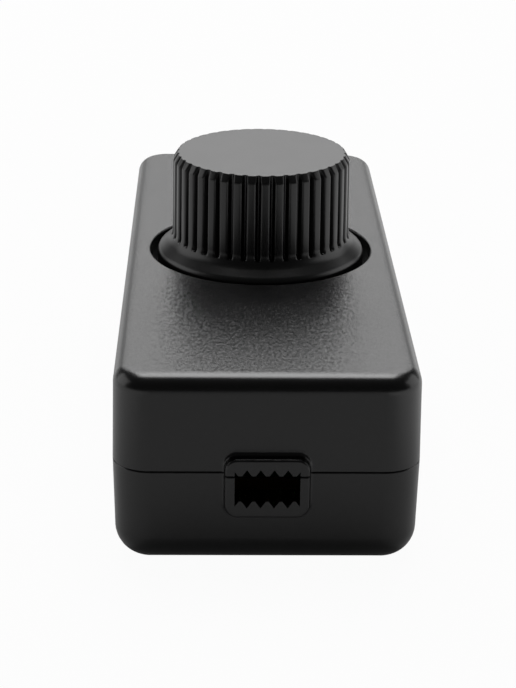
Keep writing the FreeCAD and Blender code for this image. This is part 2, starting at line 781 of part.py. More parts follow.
def make_potentiometer():
    bushing = cylinder("pot_bushing", "bushing_radius", "bushing_height", z="well_under")
    plate = cylinder("pot_plate", "pot_radius", "plate_thickness", z="plate_under")
    tab = cylinder("pot_tab", "tab_radius", "tab_height", 0, "tab_offset", "well_under")
    front = fuse("pot_front", [plate, bushing, tab])
    bore = cylinder("pot_bore", "shaft_radius + running_clearance",
                    "plate_thickness + bushing_height", z="plate_under")
    subpart(cut("pot_plate_bored", front, [bore]), "potentiometer_plate")

    washer = cylinder("washer_disc", "washer_radius", "washer_thickness", z="well_top")
    washer_hole = cylinder("washer_hole", "bushing_radius + bushing_clearance", "washer_thickness",
                           z="well_top")
    subpart(cut("washer_cut", washer, [washer_hole]), "bushing_washer")
    nut = doc.addObject("Part::Prism", "nut_hexagon")
    nut.Polygon = 6
    bind(nut, "Circumradius", "nut_flats / 2 / cos(30)")
    bind(nut, "Height", "nut_height")
    place(nut, 0, 0, "well_top + washer_thickness")
    nut_hole = cylinder("nut_hole", "bushing_radius + running_clearance", "nut_height",
                        z="well_top + washer_thickness")
    subpart(cut("nut_cut", nut, [nut_hole]), "bushing_nut")

    disc = cylinder("wafer_disc", "can_inner", "wafer_thickness", z="wafer_under")
    tongue = box("wafer_tongue", "wafer_tongue_width", "wafer_tongue_reach", "wafer_thickness",
                 0, "-wafer_tongue_reach / 2", "wafer_under")
    eye = cylinder("wafer_eye", "shaft_radius + bushing_clearance", "wafer_thickness", z="wafer_under")
    subpart(cut("wafer_cut", fuse("wafer_blank", [disc, tongue]), [eye]), "potentiometer_wafer")

    cup = cylinder("can_cup", "pot_radius", "can_depth + wafer_thickness", z="can_foot")
    hollow = cylinder("can_hollow", "can_inner", "can_depth + wafer_thickness", z="can_foot + can_wall")
    notch = box("can_notch", "wafer_tongue_width", "pot_radius", "can_depth",
                0, "-pot_radius", "wafer_under")
    subpart(cut("can_cut", cup, [hollow, notch]), "potentiometer_can")

    pins = [board_pin(f"pot_pin_{i}", f"{pin} * pot_pin_pitch", "-pot_pin_y", "wafer_under")
            for i, pin in enumerate(POT_PINS)]
    subpart(group("pot_pins", pins), "potentiometer_terminals")

    rod = cylinder("shaft_rod", "shaft_radius", "shaft_top - rotor_foot", z="rotor_foot")
    flat_foot = "hub_foot - hub_gap / 2"
    flat = box("shaft_flat_cut", "2 * (shaft_radius + cut_overrun)", "shaft_radius",
               f"shaft_top - ({flat_foot})", 0, "shaft_flat + shaft_radius / 2", flat_foot)
    subpart(cut("shaft_cut", rod, [flat]), "potentiometer_shaft")
    wheel = cylinder("rotor_wheel", "rotor_radius", "rotor_thickness", z="rotor_foot")
    wheel_eye = cylinder("rotor_eye", "shaft_radius + shaft_fit", "rotor_thickness", z="rotor_foot")
    subpart(cut("rotor_cut", wheel, [wheel_eye]), "potentiometer_rotor")

    ring = cylinder("wiper_ring", "wiper_radius", "wiper_thickness", z="rotor_top")
    ring_eye = cylinder("wiper_eye", "wiper_radius - wiper_width", "wiper_thickness", z="rotor_top")
    finger = box("wiper_finger", "wiper_width", "wiper_width", "wafer_under - wiper_clearance - rotor_top",
                 0, "wiper_radius - wiper_width / 2", "rotor_top")
    subpart(fuse("wiper", [cut("wiper_band", ring, [ring_eye]), finger]), "wiper_contact")


# Switch block: sealed rotary mains switch under the potentiometer, standing on its own pins

def make_switch_block():
    case = box("switch_case", "switch_width", "switch_depth", "switch_height", z="switch_foot")
    pins = [board_pin(f"switch_pin_{side}", f"{side} * switch_pin_x", "switch_pin_y", "switch_foot")
            for side in (-1, 1)]
    subpart(fuse("switch_unit", [case] + pins), "switch_block")


# Terminal blocks: an insulating body for two poles at each end, with brass cages and clamp screws

def make_terminal_blocks():
    cages = []
    screws = []
    for end, label in zip(ENDS, ("inlet_terminal_block", "outlet_terminal_block")):
        y = f"({end} * block_y)"
        body = box(f"{label}_body", "block_width", "block_depth", "block_height", 0, y, "board_top")
        tools = []
        for number, pole in enumerate(POLES):
            tag = f"{label}_{number}"
            x = f"({pole} * pole_pitch)"
            inward = f"{y} + {end} * (block_depth - cage_depth) / 2"
            tools.append(box(f"{tag}_pocket", "cage_width + 2 * cage_clearance", "block_depth",
                             "cage_height + 2 * cage_clearance", x, inward, "cage_foot - cage_clearance"))
            tools.append(cylinder(f"{tag}_well", "clamp_screw_radius + cage_clearance",
                                  "board_top + block_height - cage_foot", x, y, "cage_foot"))
            tools.append(cylinder(f"{tag}_pin_hole", "pin_hole", "cage_lift", x, y, "board_top"))
            cages.append(make_cage(tag, x, y))
            screws.append(make_clamp_screw(tag, x, y))
        subpart(cut(f"{label}_cut", body, tools), label)
    subpart(group("cage_set", cages), "terminal_cages")
    subpart(group("clamp_screw_set", screws), "terminal_screws")


def make_cage(tag, x, y):
    """A brass box, open along the wire, with a tapped hole on top and a solder pin below."""
    shell = box(f"{tag}_cage", "cage_width", "cage_depth", "cage_height", x, y, "cage_foot")
    passage = box(f"{tag}_passage", "cage_width - 2 * cage_wall", "cage_depth", "cage_height - 2 * cage_wall",
                  x, y, "cage_foot + cage_wall")
    tapped = cylinder(f"{tag}_tapped", "clamp_screw_radius + running_clearance", "cage_wall + cut_overrun",
                      x, y, "cage_top - cage_wall")
    pin = board_pin(f"{tag}_pin", x, y, "cage_foot")
    return fuse(f"{tag}_cage_unit", [cut(f"{tag}_cage_open", shell, [passage, tapped]), pin])


def make_clamp_screw(tag, x, y):
    """A slotted screw that runs down into the cage."""
    top = "board_top + block_height - clamp_screw_slot"
    rod = cylinder(f"{tag}_screw", "clamp_screw_radius", f"{top} - clamp_screw_foot",
                   x, y, "clamp_screw_foot")
    slot = box(f"{tag}_slot", "2 * (clamp_screw_radius + cut_overrun)", "clamp_screw_slot", "cut_overrun",
               x, y, f"{top} - clamp_screw_slot")
    return cut(f"{tag}_screw_slotted", rod, [slot])


# Triac, its folded heat sink and the screw that holds them together

def make_triac():
    case = box("triac_case", "triac_width", "triac_thickness", "triac_height",
               "triac_x", "triac_y", "triac_foot")
    hole = cylinder("triac_hole", "sink_screw_radius + running_clearance", "triac_thickness", "triac_x",
                    "triac_y - triac_thickness / 2", "sink_screw_z", along_y=True)
    legs = [board_pin(f"triac_leg_{i}", f"triac_x + {leg} * triac_pitch", "triac_y", "triac_foot")
            for i, leg in enumerate((-1, 0, 1))]
    subpart(fuse("triac_unit", [cut("triac_drilled", case, [hole])] + legs), "triac")

    plate_y = "sink_y - sink_thickness / 2"
    plate = box("sink_plate", "sink_width", "sink_thickness", "sink_height", "triac_x", plate_y, "board_top")
    flanges = [box(f"sink_flange_{side}", "sink_thickness", "sink_flange", "sink_height",
                   f"triac_x + {side} * (sink_width - sink_thickness) / 2",
                   "sink_y - sink_flange / 2", "board_top")
               for side in (-1, 1)]
    thread = cylinder("sink_hole", "sink_screw_radius + running_clearance", "sink_thickness", "triac_x",
                      "sink_y - sink_thickness", "sink_screw_z", along_y=True)
    subpart(cut("sink_drilled", fuse("sink_folded", [plate] + flanges), [thread]), "triac_heatsink")

    shank = cylinder("sink_screw_shank", "sink_screw_radius", "triac_thickness + 2 * sink_thickness",
                     "triac_x", "sink_y - 2 * sink_thickness", "sink_screw_z", along_y=True)
    head = cylinder("sink_screw_cap", "sink_screw_head", "sink_screw_head_height", "triac_x",
                    "sink_y + triac_thickness", "sink_screw_z", along_y=True)
    subpart(fuse("sink_screw", [shank, head]), "heatsink_screw")


# Choke: a flanged ferrite drum with its winding

def make_choke():
    centre = ("choke_x", "choke_y")
    flanges = [cylinder("choke_lower", "choke_radius", "choke_flange", *centre, "board_top"),
               cylinder("choke_upper", "choke_radius", "choke_flange", *centre,
                        "board_top + choke_height - choke_flange")]
    stem = cylinder("choke_stem", "choke_core_radius", "choke_height", *centre, "board_top")
    leads = [board_pin(f"choke_lead_{side}", f"choke_x + {side} * lead_span / 2", "choke_y", "board_top")
             for side in (-1, 1)]
    subpart(fuse("choke_drum", flanges + [stem] + leads), "choke_core")
    turns = cylinder("choke_turns", "choke_radius - winding_inset", "choke_height - 2 * choke_flange",
                     *centre, "board_top + choke_flange")
    inside = cylinder("choke_turns_eye", "choke_core_radius", "choke_height - 2 * choke_flange",
                      *centre, "board_top + choke_flange")
    subpart(cut("choke_wound", turns, [inside]), "choke_winding")


# Box capacitors, fuse, diac and resistors

def make_upright(label, case, x, y):
    """A component that stands on the board on two pins."""
    pins = [board_pin(f"{label}_pin_{side}", f"{x} + {side} * lead_span / 2", y, "board_top")
            for side in (-1, 1)]
    subpart(fuse(f"{label}_unit", [case] + pins), label)


def make_axial(label, radius, length, x, y):
    """A component that lies along Y on the board, with a lead bent down at each end."""
    level = f"(board_top + {radius})"
    span = f"({length} + 2 * axial_lead_reach)"
    pieces = [cylinder(f"{label}_body", radius, length, x, f"{y} - {length} / 2", level, along_y=True),
              cylinder(f"{label}_wire", "axial_lead_radius", span, x, f"{y} - {span} / 2", level,
                       along_y=True)]
    for end in ENDS:
        bend = doc.addObject("Part::Torus", f"{label}_bend_{end}")
        bind(bend, "Radius1", "axial_bend")
        bind(bend, "Radius2", "axial_lead_radius")
        bend.Angle3 = 90
        outward = FreeCAD.Vector(0, end, 0)
        sideways = FreeCAD.Vector(end, 0, 0)
        bend.Placement.Rotation = FreeCAD.Rotation(outward, FreeCAD.Vector(0, 0, 1), sideways, "XYZ")
        place(bend, x, f"{y} + {end} * {span} / 2", f"{level} - axial_bend")
        foot = f"{y} + {end} * ({span} / 2 + axial_bend)"
        pieces.append(bend)
        pieces.append(board_pin(f"{label}_lead_{end}", x, foot, f"{level} - axial_bend", "axial_lead_radius"))
    return fuse(f"{label}_unit", pieces)


def make_small_components():
    film = box("film_case", "film_length", "film_thickness", "film_height", "film_x", "film_y", "board_top")
    make_upright("suppression_capacitor", film, "film_x", "film_y")
    timing = box("timing_case", "timing_length", "timing_thickness", "timing_height",
                 "timing_x", "timing_y", "board_top")
    make_upright("timing_capacitor", timing, "timing_x", "timing_y")
    link = cylinder("fuse_case", "fuse_radius", "fuse_height", "fuse_x", "fuse_y", "board_top")
    make_upright("fuse", link, "fuse_x", "fuse_y")
    subpart(make_axial("diac_glass", "diac_radius", "diac_length", "diac_x", "diac_y"), "diac")
    pair = [make_axial(f"resistor_{number}", "resistor_radius", "resistor_length",
                       f"resistor_x + {side} * resistor_pitch / 2", "resistor_y")
            for number, side in enumerate((-1, 1))]
    subpart(group("resistor_pair", pair), "resistors")


# Circuit board: drilled for every pin and for the pegs of the base

def make_circuit_board():
    blank = box("board_blank", "board_width", "board_length", "board_thickness", z="board_under")
    drills = [cylinder(f"board_hole_{i}", f"{radius} + pin_hole_clearance", "board_thickness",
                       x, y, "board_under")
              for i, (x, y, radius) in enumerate(board_pins)]
    drills += [cylinder(f"board_peg_hole_{i}", "peg_radius + pin_hole_clearance", "board_thickness",
                        f"{side} * peg_x", f"{end} * peg_y", "board_under")
               for i, (side, end) in enumerate(CORNERS)]
    subpart(cut("board_drilled", blank, drills), "circuit_board")


def check_document():
    """Stops the build if a feature failed or a sub-part has no sound solid."""
    doc.recompute()
    failed = [f.Name for f in doc.Objects if {"Invalid", "Error"} & set(f.State)]
    if failed:
        raise RuntimeError(f"features failed: {failed}")
    for feature in subparts:
        shape = feature.Shape
        if shape.isNull() or not shape.isValid() or not shape.Solids:
            raise RuntimeError(f"{feature.Label} has no valid solid")


def write_parts():
    os.makedirs("parts", exist_ok=True)
    for feature in subparts:
        feature.Shape.exportStep(f"parts/{feature.Label}.step")


make_upper_cover()
make_lower_base()
make_control_knob()
make_housing_screws()
make_potentiometer()
make_switch_block()
make_terminal_blocks()
make_triac()
make_choke()
make_small_components()
make_circuit_board()
check_document()
write_parts()
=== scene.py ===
import math

import bmesh
import bpy
from mathutils import Matrix, Vector


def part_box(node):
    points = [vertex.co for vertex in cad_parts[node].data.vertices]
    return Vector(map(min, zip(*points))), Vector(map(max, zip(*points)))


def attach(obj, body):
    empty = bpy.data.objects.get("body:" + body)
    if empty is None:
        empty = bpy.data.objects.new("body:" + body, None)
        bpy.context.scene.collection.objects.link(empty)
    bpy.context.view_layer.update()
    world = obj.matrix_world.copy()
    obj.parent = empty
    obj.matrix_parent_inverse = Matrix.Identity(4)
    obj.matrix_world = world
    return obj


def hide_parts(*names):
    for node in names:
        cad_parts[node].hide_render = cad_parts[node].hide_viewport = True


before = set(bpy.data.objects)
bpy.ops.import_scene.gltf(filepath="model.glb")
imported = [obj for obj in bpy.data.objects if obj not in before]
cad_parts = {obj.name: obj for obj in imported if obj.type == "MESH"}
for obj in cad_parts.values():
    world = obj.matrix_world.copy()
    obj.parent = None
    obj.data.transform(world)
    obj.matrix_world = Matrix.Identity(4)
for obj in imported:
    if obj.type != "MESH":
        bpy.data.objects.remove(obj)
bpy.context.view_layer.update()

# Lower base
# The lower half of the housing, injection-moulded in black plastic with a fine spark-eroded grain.
# Four screws from below hold it to the cover, and its end walls carry the lower row of cable teeth.


class Shade:
    """A shader socket that takes part in sums, so that shader maths reads as plain Python."""

    def __init__(self, tree, socket=None):
        self.tree = tree
        self.socket = socket

    def node(self, kind, settings, sockets, output=0):
        """Adds a node with its settings, then the values or links of its sockets. Gives one output."""
        made = self.tree.nodes.new(kind)
        for name, setting in settings.items():
            setattr(made, name, setting)
        for name, given in sockets.items():
            if isinstance(given, Shade):
                self.tree.links.new(given.socket, made.inputs[name])
            else:
                made.inputs[name].default_value = given
        return Shade(self.tree, made.outputs[output] if made.outputs else None)

    def sum(self, operation, first, second):
        """One step of arithmetic on two values."""
        return self.node("ShaderNodeMath", {"operation": operation}, {0: first, 1: second})

    def __add__(self, other):
        return self.sum("ADD", self, other)

    def __sub__(self, other):
        return self.sum("SUBTRACT", self, other)

    def __rsub__(self, other):
        return self.sum("SUBTRACT", other, self)

    def __mul__(self, other):
        return self.sum("MULTIPLY", self, other)

    __radd__ = __add__
    __rmul__ = __mul__

    def noise(self, place, size, detail=2.0, roughness=0.5):
        """Soft noise whose lumps are about size across, between 0 and 1."""
        sockets = {"Vector": place, "Scale": 1.0 / size, "Detail": detail, "Roughness": roughness}
        return self.node("ShaderNodeTexNoise", {"noise_dimensions": "3D"}, sockets)

    def blend(self, factor, first, second):
        """A colour between two colours."""
        return self.node("ShaderNodeMix", {"data_type": "RGBA"}, {0: factor, 6: first, 7: second}, output=2)

    def step(self, amount, low, high):
        """Rises smoothly from 0 to 1 while amount goes from low to high."""
        sockets = {"Value": amount, "From Min": low, "From Max": high}
        return self.node("ShaderNodeMapRange", {"interpolation_type": "SMOOTHSTEP"}, sockets)


def new_finish(name):
    """An empty material, with a shade to write it with and the piece's own coordinates."""
    material = bpy.data.materials.new(name)
    material.use_nodes = True
    material.node_tree.nodes.clear()
    shade = Shade(material.node_tree)
    place = shade.node("ShaderNodeTexCoord", {}, {}, output="Object")
    return material, shade, place


def close_finish(shade, sockets):
    """Ends a material in one surface with the given sockets."""
    surface = shade.node("ShaderNodeBsdfPrincipled", {}, sockets)
    shade.node("ShaderNodeOutputMaterial", {}, {"Surface": surface})


def tint(colour, share):
    """A lighter or darker colour, opaque."""
    return tuple(channel * share for channel in colour) + (1.0,)


wall_slope = 0.75
flat_slope = 0.95
cloud_size = 0.012
glint_size = 0.0003
glint_stretch = (1.0, 0.5, 1.0)
no_lean = (0.5, 0.5, 0.5)


def moulded_plastic(name, colour, roughness, grain, relief, edge, glint=0.0):
    """Satin plastic: grain is the size of the mould's texture, relief its depth, edge the corners' rounding.

    The texture lies on what faces the mould's draw, up or down, and the walls are left smooth. Glint is how
    far the single grains there lean to one side or the other."""
    material, shade, place = new_finish(name)
    facing = shade.node("ShaderNodeTexCoord", {}, {}, output="Normal")
    rise = shade.node("ShaderNodeSeparateXYZ", {}, {"Vector": facing}, output="Z")
    flats = shade.step(rise * rise, wall_slope, flat_slope)
    texture = (shade.noise(place, grain, detail=1.0) - 0.5) * flats
    cloud = shade.noise(place, cloud_size)
    softened = shade.node("ShaderNodeBevel", {"samples": 6}, {"Radius": edge})
    bump = {"Strength": 1.0, "Distance": relief, "Height": texture, "Normal": softened}
    upright = shade.node("ShaderNodeBump", {}, bump)
    stretch = shade.node("ShaderNodeMapping", {}, {"Vector": place, "Scale": glint_stretch})
    grains = shade.node("ShaderNodeTexNoise", {"noise_dimensions": "3D"},
                        {"Vector": stretch, "Scale": 1.0 / glint_size, "Detail": 0.0}, output="Color")
    sway = shade.node("ShaderNodeVectorMath", {"operation": "SUBTRACT"}, {0: grains, 1: no_lean})
    amount = {"Vector": sway, "Scale": flats * glint}
    lean = shade.node("ShaderNodeVectorMath", {"operation": "SCALE"}, amount)
    leaning = shade.node("ShaderNodeVectorMath", {"operation": "ADD"}, {0: upright, 1: lean})
    close_finish(shade, {
        "Base Color": shade.blend(cloud, tint(colour, 0.85), tint(colour, 1.15)),
        "Roughness": roughness + (cloud - 0.5) * 0.08,
        "IOR": 1.52,
        "Normal": shade.node("ShaderNodeVectorMath", {"operation": "NORMALIZE"}, {0: leaning}),
    })
    return material


def coat(node, material):
    """Gives a CAD node its finish."""
    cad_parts[node].data.materials[0] = material


black = (0.0032, 0.0032, 0.0034)
housing_black = moulded_plastic("housing_black", black, roughness=0.25, grain=0.00012, relief=0.00003,
                                edge=0.00012, glint=0.2)
coat("lower_base", housing_black)

# Circuit board
# Brown phenolic paper laminate, cut to size and punched for the pins, with its copper side below. It is
# pushed over four pegs of the base.


def laminate(name, colour, fibre):
    """Paper laminate: fibre is the length of the fibres that show in it."""
    material, shade, place = new_finish(name)
    stretch = shade.node("ShaderNodeMapping", {}, {"Vector": place, "Scale": (1.0, 0.2, 1.0)})
    fibres = shade.noise(stretch, fibre, detail=5.0, roughness=0.65)
    bump = {"Strength": 0.4, "Distance": 0.00002, "Height": fibres}
    close_finish(shade, {
        "Base Color": shade.blend(fibres, tint(colour, 0.7), tint(colour, 1.25)),
        "Roughness": 0.45 + fibres * 0.2,
        "Normal": shade.node("ShaderNodeBump", {}, bump),
    })
    return material


coat("circuit_board", laminate("board_laminate", (0.36, 0.21, 0.085), fibre=0.0008))

# Terminal blocks
# Two-pole blocks moulded in green plastic, soldered to each end of the board. Brass cages slide in from the
# cord's side, and slotted steel screws press the cord's conductors into them.


def plated_metal(name, colour, roughness, scratch):
    """Plated or bare metal with faint drawing marks: scratch is their spacing."""
    material, shade, place = new_finish(name)
    stretch = shade.node("ShaderNodeMapping", {}, {"Vector": place, "Scale": (1.0, 1.0, 0.06)})
    marks = shade.noise(stretch, scratch, detail=4.0, roughness=0.6)
    bloom = shade.noise(place, 0.003)
    bump = {"Strength": 0.25, "Distance": 0.00001, "Height": marks}
    close_finish(shade, {
        "Base Color": shade.blend(bloom, tint(colour, 0.8), tint(colour, 1.1)),
        "Metallic": 1.0,
        "Roughness": roughness + (marks - 0.5) * 0.2,
        "Normal": shade.node("ShaderNodeBump", {}, bump),
    })
    return material


block_green = moulded_plastic("block_green", (0.035, 0.19, 0.06), roughness=0.45, grain=0.0003,
                              relief=0.000006, edge=0.0001)
coat("inlet_terminal_block", block_green)
coat("outlet_terminal_block", block_green)
contact_brass = plated_metal("contact_brass", (0.70, 0.49, 0.20), roughness=0.28, scratch=0.00015)
coat("terminal_cages", contact_brass)
zinc_steel = plated_metal("zinc_steel", (0.58, 0.58, 0.56), roughness=0.32, scratch=0.0002)
coat("terminal_screws", zinc_steel)

# Triac and heat sink
# A small plastic power package, screwed flat to a folded plate of bare aluminium that stands on the board.

coat("triac", moulded_plastic("triac_epoxy", (0.022, 0.022, 0.022), roughness=0.55, grain=0.00025,
                              relief=0.000008, edge=0.00012))
coat("triac_heatsink", plated_metal("mill_aluminium", (0.75, 0.75, 0.76), roughness=0.38, scratch=0.0003))
coat("heatsink_screw", zinc_steel)

# Choke
# A ferrite drum between two flanges, wound with enamelled copper wire that lies turn against turn.


def wound_wire(name, colour, pitch):
    """Layers of wire: pitch is the height of one turn."""
    material, shade, place = new_finish(name)
    turns = shade.node("ShaderNodeTexWave", {"bands_direction": "Z", "wave_profile": "SIN"},
                       {"Vector": place, "Scale": math.pi / (10.0 * pitch), "Distortion": 0.4})
    enamel = shade.noise(place, 0.001)
    bump = {"Strength": 0.9, "Distance": pitch / 4, "Height": turns}
    close_finish(shade, {
        "Base Color": shade.blend(enamel, tint(colour, 0.75), tint(colour, 1.15)),
        "Metallic": 0.85,
        "Roughness": 0.3 + enamel * 0.12,
        "Normal": shade.node("ShaderNodeBump", {}, bump),
    })
    return material


coat("choke_core", moulded_plastic("ferrite_grey", (0.045, 0.045, 0.047), roughness=0.6, grain=0.0002,
                                   relief=0.00001, edge=0.0001))
coat("choke_winding", wound_wire("enamelled_copper", (0.50, 0.17, 0.06), pitch=0.0006))

# Capacitors, fuse, diac and resistors
# Bought-in components in moulded or lacquered cases, soldered to the board by their pins.


def lacquer(name, colour):
    """A thick dipped coat, glossy and a little uneven."""
    material, shade, place = new_finish(name)
    flow = shade.noise(place, 0.0012, detail=3.0)
    bump = {"Strength": 0.3, "Distance": 0.00006, "Height": flow}
    close_finish(shade, {
        "Base Color": shade.blend(flow, tint(colour, 0.8), tint(colour, 1.2)),
        "Roughness": 0.18 + flow * 0.15,
        "Coat Weight": 0.3 + flow * 0.3,
        "Normal": shade.node("ShaderNodeBump", {}, bump),
    })
    return material


case_finishes = {
    "suppression_capacitor": (0.60, 0.43, 0.04),
    "timing_capacitor": (0.035, 0.09, 0.33),
}
for case, colour in case_finishes.items():
    coat(case, moulded_plastic(f"{case}_case", colour, roughness=0.42, grain=0.00025, relief=0.000005,
                               edge=0.0002))
dipped_finishes = {
    "fuse": (0.24, 0.06, 0.035),
    "diac": (0.08, 0.15, 0.36),
    "resistors": (0.50, 0.36, 0.20),
}
for case, colour in dipped_finishes.items():
    coat(case, lacquer(f"{case}_lacquer", colour))

# Potentiometer and switch
# A nickel-plated bushing plate over a track wafer and a pressed can, held to the cover by nut and washer.
# The rotor, wiper and nylon shaft turn inside it, and the sealed mains switch hangs below the can.

nickel_plate = plated_metal("nickel_plate", (0.66, 0.63, 0.57), roughness=0.26, scratch=0.0002)
for piece in ("potentiometer_plate", "potentiometer_can", "bushing_washer", "bushing_nut"):
    coat(piece, nickel_plate)
tinned_wire = plated_metal("tinned_wire", (0.68, 0.68, 0.67), roughness=0.36, scratch=0.0001)
coat("potentiometer_terminals", tinned_wire)
coat("potentiometer_wafer", laminate("track_laminate", (0.26, 0.13, 0.055), fibre=0.0005))
coat("wiper_contact", contact_brass)
shaft_nylon = moulded_plastic("shaft_nylon", (0.66, 0.63, 0.56), roughness=0.42, grain=0.0003,
                              relief=0.000005, edge=0.0002)
coat("potentiometer_shaft", shaft_nylon)
coat("potentiometer_rotor", shaft_nylon)
coat("switch_block", moulded_plastic("switch_brown", (0.045, 0.028, 0.02), roughness=0.4, grain=0.0003,
                                     relief=0.000006, edge=0.0003))

# Upper cover
# The upper half of the housing, moulded in the same grained black plastic, with a round well for the knob
# and the upper row of cable teeth. It sits over the base's tongue.

coat("upper_cover", housing_black)

# Housing screws
# Four zinc-plated self-tapping screws with cross recesses, deep in the counterbores of the base.

coat("housing_screws", zinc_steel)

# Control knob
# A hollow moulding in smooth satin black plastic, pushed on the flatted shaft. The grip has a ring of
# upright flutes with rounded ribs, and flares out to a skirt whose rim runs in the cover's round opening.

flutes = 40
flute_turn = math.radians(-93.14)
knob_low, knob_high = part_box("control_knob")
cover_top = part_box("upper_cover")[1].z
rim_radius = knob_high.x
skirt_rise = 0.00012
rim_top = cover_top + skirt_rise
rim_edge = 0.0010
foot_edge = 0.0002
skirt_slope = math.radians(40)
flare_radius = 0.0024
grip_radius = 0.01188
crown_radius = 0.01177
crown_flat = 0.01117
crown_drop = 0.00095
crown_edge = 0.0002
crown_shoulder = 0.0008
knob_wall = 0.0016
top_thickness = 0.0020
knob_inner = 0.00973
hub_radius = 0.0049
bore_radius = 0.00302
hub_foot = 0.0249
skirt_top = rim_top + (rim_radius - grip_radius) * math.tan(skirt_slope)
groove_rise = 0.0002
groove_foot = skirt_top + groove_rise
groove_runout = 0.0006
groove_depth = 0.00082
groove_half = 0.00040
groove_floor = 0.00010
groove_edge = 0.00008
rib_edge = 0.00034
floor_low = 0.01108
floor_high = 0.01097
weld_gap = 0.000002
sharp_turn = math.radians(40)


def rounded(corners):
    """Points of a section through corners. A corner with a radius and a number of steps becomes an arc."""
    places = [Vector(corner[:2]) for corner in corners]
    points = [places[0]]
    for before, corner, after in zip(places, corners[1:], places[2:]):
        place = Vector(corner[:2])
        if len(corner) == 2:
            points.append(place)
            continue
        radius, steps = corner[2:]
        come = (place - before).normalized()
        leave = (after - place).normalized()
        turn = come.angle(leave)
        centre = place + (leave - come).normalized() * (radius / math.cos(turn / 2))
        start = place - come * radius * math.tan(turn / 2) - centre
        end = place + leave * radius * math.tan(turn / 2) - centre
        for i in range(steps + 1):
            share = turn * i / steps
            points.append(centre + (start * math.sin(turn - share) + end * math.sin(share)) / math.sin(turn))
    return points + [places[-1]]


def knob_section():
    """The knob's section: from the middle of its top down over the skirt, then up the hollow to the axis."""
    top = knob_high.z
    foot = knob_low.z
    inner_rim = rim_radius - knob_wall
    skirt_ceiling = rim_top - knob_wall / 2
    ceiling = top - top_thickness
    return rounded([
        (0.0, top),
        (crown_flat / 2, top),
        (floor_high - crown_edge, top),
        (crown_flat, top, crown_edge, 4),
        (crown_radius, top - crown_drop, crown_shoulder, 6),
        (grip_radius, skirt_top, flare_radius, 24),
        (rim_radius, rim_top, rim_edge, 12),
        (rim_radius, foot, foot_edge, 3),
        (inner_rim, foot),
        (inner_rim, skirt_ceiling),
        (knob_inner, skirt_ceiling),
        (knob_inner, ceiling),
        (hub_radius, ceiling),
        (hub_radius, hub_foot),
        (bore_radius, hub_foot),
        (bore_radius, ceiling),
        (0.0, ceiling),
    ])


def groove_section():
    """Distances from a groove's middle out to the middle of a rib, each with its share of the depth."""
    outline = rounded([
        (0.0, groove_depth),
        (groove_floor, groove_depth, groove_edge, 4),
        (groove_half, 0.0, rib_edge, 6),
        (math.pi * grip_radius / flutes, 0.0),
    ])
    return [(across, depth / groove_depth) for across, depth in outline]


def fluted(radius, height, depth):
    """The radius of a point of the knob's outside, after the grooves are cut to a share of their depth."""
    rise = (height - groove_foot) / (knob_high.z - groove_foot)
    floor = floor_low + (floor_high - floor_low) * rise
    if rise < 0 or radius < floor:
        return radius
    fade = min(1.0, (height - groove_foot) / groove_runout)
    return radius - depth * min(groove_depth, radius - floor) * math.sqrt(fade * (2.0 - fade))


def flute_sector():
    """A slice of the whole knob with one flute, from the middle of a rib to the middle of the next."""
    section = groove_section()
    columns = [(-across, depth) for across, depth in reversed(section)] + section[1:]
    grid = bmesh.new()
    rows = []
    outside = True
    for radius, height in knob_section():
        outside = outside and height > knob_low.z
        reaches = [fluted(radius, height, depth) if outside else radius for across, depth in columns]
        rows.append((reaches, height))
    turns = [across / grip_radius + flute_turn for across, depth in columns]
    lines = [[grid.verts.new((reach * math.cos(turn), reach * math.sin(turn), height))
              for reach, turn in zip(reaches, turns)] for reaches, height in rows]
    for upper, lower in zip(lines, lines[1:]):
        for i in range(len(columns) - 1):
            grid.faces.new((upper[i], lower[i], lower[i + 1], upper[i + 1]))
    mesh = bpy.data.meshes.new("flute_sector")
    grid.to_mesh(mesh)
    grid.free()
    return mesh


def ring_of_copies(name):
    """A node tree that turns copies of a piece about Z, joins them and gives them a finish."""
    tree = bpy.data.node_groups.new(name, "GeometryNodeTree")
    for label, kind in (("Geometry", "NodeSocketGeometry"), ("Copies", "NodeSocketInt"),
                        ("Weld", "NodeSocketFloat"), ("Finish", "NodeSocketMaterial")):
        tree.interface.new_socket(label, in_out="INPUT", socket_type=kind)
    tree.interface.new_socket("Geometry", in_out="OUTPUT", socket_type="NodeSocketGeometry")
    shade = Shade(tree)
    given = tree.nodes.new("NodeGroupInput")
    piece, copies, weld, finish = (Shade(tree, given.outputs[i]) for i in range(4))
    index = shade.node("GeometryNodeInputIndex", {}, {})
    turn = index * shade.sum("DIVIDE", 2 * math.pi, copies)
    spin = shade.node("ShaderNodeCombineXYZ", {}, {"Z": turn})
    points = shade.node("GeometryNodePoints", {}, {"Count": copies})
    placed = {"Points": points, "Instance": piece, "Rotation": spin}
    ring = shade.node("GeometryNodeInstanceOnPoints", {}, placed)
    solid = shade.node("GeometryNodeRealizeInstances", {}, {"Geometry": ring})
    joined = shade.node("GeometryNodeMergeByDistance", {}, {"Geometry": solid, "Distance": weld})
    smooth = shade.node("GeometryNodeSetShadeSmooth", {}, {"Geometry": joined})
    coated = shade.node("GeometryNodeSetMaterial", {}, {"Geometry": smooth, "Material": finish})
    shade.node("NodeGroupOutput", {}, {"Geometry": coated})
    return tree


def made_by_nodes(name, mesh, tree, inputs):
    """A plain mesh object from a piece and a node tree whose inputs are given by their names."""
    source = bpy.data.objects.new(name, mesh)
    bpy.context.scene.collection.objects.link(source)
    modifier = source.modifiers.new(tree.name, "NODES")
    modifier.node_group = tree
    for item in tree.interface.items_tree:
        if item.in_out == "INPUT" and item.name in inputs:
            modifier[item.identifier] = inputs[item.name]
    result = bpy.data.meshes.new_from_object(source.evaluated_get(bpy.context.evaluated_depsgraph_get()))
    source.modifiers.clear()
    source.data = result
    result.set_sharp_from_angle(angle=sharp_turn)
    return source


